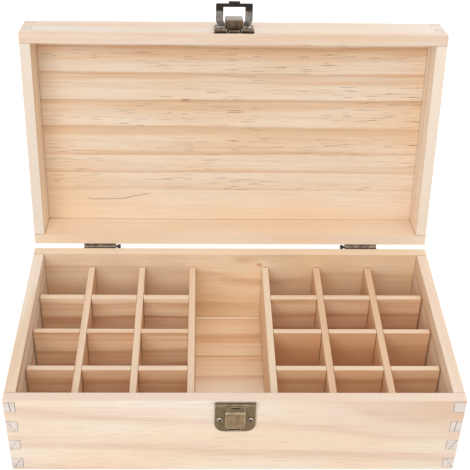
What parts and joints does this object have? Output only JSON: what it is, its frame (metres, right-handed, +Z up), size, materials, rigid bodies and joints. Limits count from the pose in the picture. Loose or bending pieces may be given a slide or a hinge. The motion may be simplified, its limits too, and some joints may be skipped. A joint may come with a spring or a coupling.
{
  "type": "compartment storage box",
  "caption": "Hinged wooden box with finger-jointed walls, two lift-out divider grids either side of an open bay, and a metal draw latch.",
  "frame": {"origin": "middle of the underside of the base", "axes": "+X along the long front, +Y from the front to the hinges, +Z up; the lid is open at rest"},
  "size_m": [0.295, 0.2255, 0.2436],
  "materials": {
    "pine_walls": "bare sanded pine",
    "pine_dividers": "bare sanded pine",
    "antique_bronze": "dark antique bronze plating with worn edges"
  },
  "bodies": {
    "base": {"base_front": "pine_walls", "base_back": "pine_walls", "base_left_side": "pine_walls", "base_right_side": "pine_walls", "base_bottom": "pine_walls", "latch_catch_plate": "antique_bronze", "latch_catch_screw_1": "antique_bronze", "latch_catch_screw_2": "antique_bronze", "latch_lever_pin": "antique_bronze", "left_hinge_base_leaf": "antique_bronze", "left_hinge_base_screw_1": "antique_bronze", "left_hinge_base_screw_2": "antique_bronze", "left_hinge_pin": "antique_bronze", "right_hinge_base_leaf": "antique_bronze", "right_hinge_base_screw_1": "antique_bronze", "right_hinge_base_screw_2": "antique_bronze", "right_hinge_pin": "antique_bronze"},
    "lid": {"lid_front": "pine_walls", "lid_back": "pine_walls", "lid_left_side": "pine_walls", "lid_right_side": "pine_walls", "lid_top": "pine_walls", "latch_bail_plate": "antique_bronze", "latch_bail_screw_1": "antique_bronze", "latch_bail_screw_2": "antique_bronze", "left_hinge_lid_leaf": "antique_bronze", "left_hinge_lid_screw_1": "antique_bronze", "left_hinge_lid_screw_2": "antique_bronze", "right_hinge_lid_leaf": "antique_bronze", "right_hinge_lid_screw_1": "antique_bronze", "right_hinge_lid_screw_2": "antique_bronze"},
    "bail": {"latch_bail": "antique_bronze"},
    "lever": {"latch_lever": "antique_bronze"},
    "left_grid": {"left_divider_1": "pine_dividers", "left_cross_strip_1": "pine_dividers", "left_divider_2": "pine_dividers", "left_cross_strip_2": "pine_dividers", "left_divider_3": "pine_dividers", "left_cross_strip_3": "pine_dividers"},
    "right_grid": {"right_divider_1": "pine_dividers", "right_cross_strip_1": "pine_dividers", "right_divider_2": "pine_dividers", "right_cross_strip_2": "pine_dividers", "right_divider_3": "pine_dividers", "right_cross_strip_3": "pine_dividers"}
  },
  "joints": [
    {"name": "lid_hinge", "type": "hinge", "parent": "base", "child": "lid", "pos_m": [0, 0.0828, 0.06425], "axis": [1, 0, 0], "range_deg": [0, 99.5]},
    {"name": "bail_hinge", "type": "hinge", "parent": "lid", "child": "bail", "pos_m": [0, 0.11903, 0.22832], "axis": [1, 0, 0], "range_deg": [-90, 90]},
    {"name": "lever_hinge", "type": "hinge", "parent": "base", "child": "lever", "pos_m": [0, -0.0825, 0.0615], "axis": [-1, 0, 0], "range_deg": [0, 95]},
    {"name": "left_grid_lift", "type": "slide", "parent": "base", "child": "left_grid", "axis": [0, 0, 1], "range_m": [0, 0.038]},
    {"name": "right_grid_lift", "type": "slide", "parent": "base", "child": "right_grid", "axis": [0, 0, 1], "range_m": [0, 0.038]}
  ]
}
